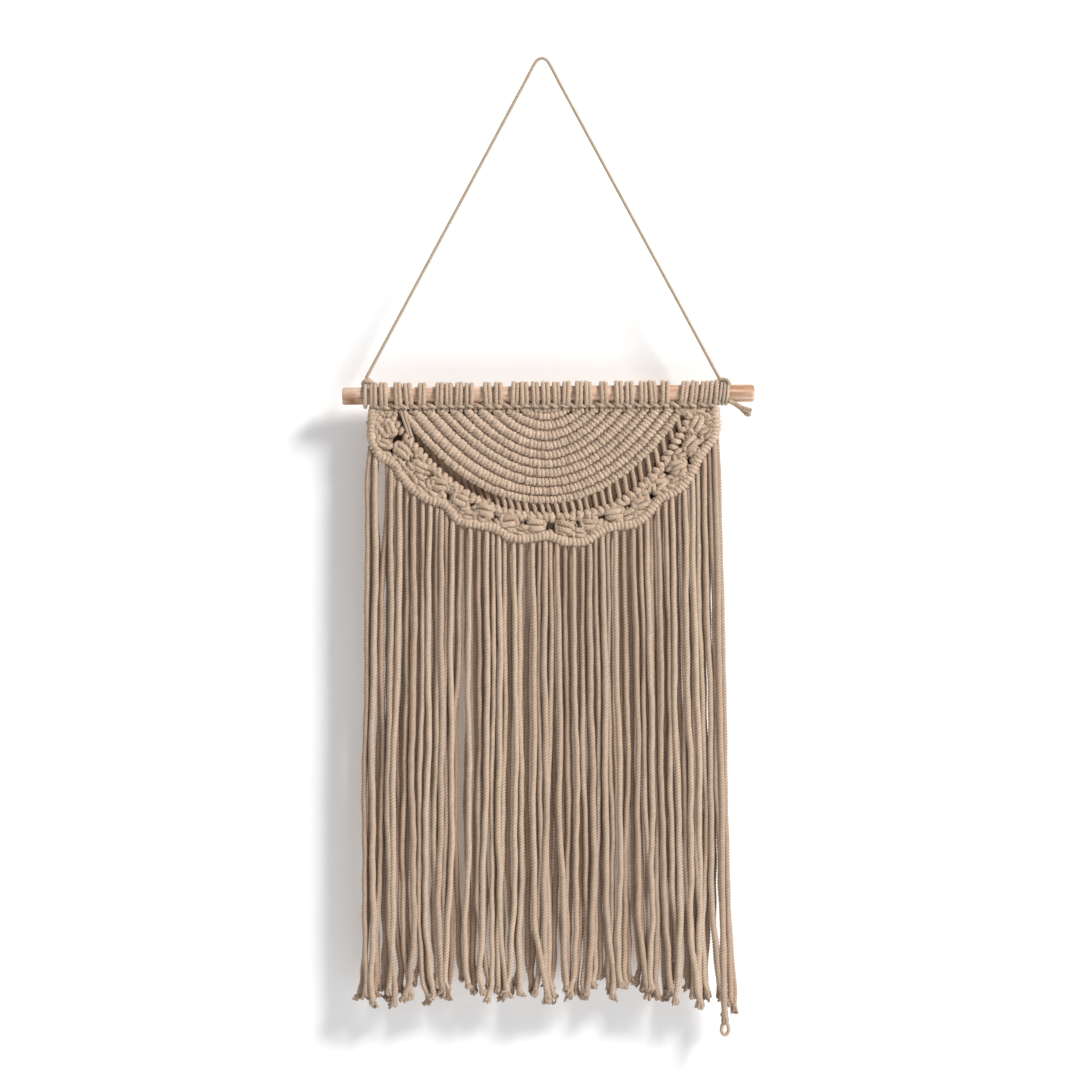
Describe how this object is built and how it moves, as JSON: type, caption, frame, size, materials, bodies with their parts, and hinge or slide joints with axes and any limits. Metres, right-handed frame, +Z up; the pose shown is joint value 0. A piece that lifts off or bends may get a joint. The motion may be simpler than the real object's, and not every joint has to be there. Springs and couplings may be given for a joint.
{
  "type": "macrame wall hanging on a wooden rod",
  "caption": "Knotted cotton wall hanging: a half-round fan of ridged bars and a scalloped, open-knotted edge over a long fringe, on a bare wooden rod with a hanging cord.",
  "frame": {"origin": "the point where the nail or hook carries the hanging cord, at the underside of its bend", "axes": "+Z up; +X to the right as seen from the room, along the rod; -Y toward the room, +Y toward the wall"},
  "size_m": [0.35, 0.0224, 0.8277],
  "materials": {
    "cotton": "matte slack three-ply cotton cord, beige",
    "hanging_cord": "matte tightly twisted thin cotton cord, beige",
    "wood": "bare sanded light wood"
  },
  "bodies": {
    "root": {"rod": "wood", "knotted_panel": "cotton", "fringe": "cotton", "hanger_cord": "hanging_cord", "hanger_wrap_left": "hanging_cord", "hanger_wrap_right": "hanging_cord", "hanger_tail": "hanging_cord"}
  },
  "joints": []
}
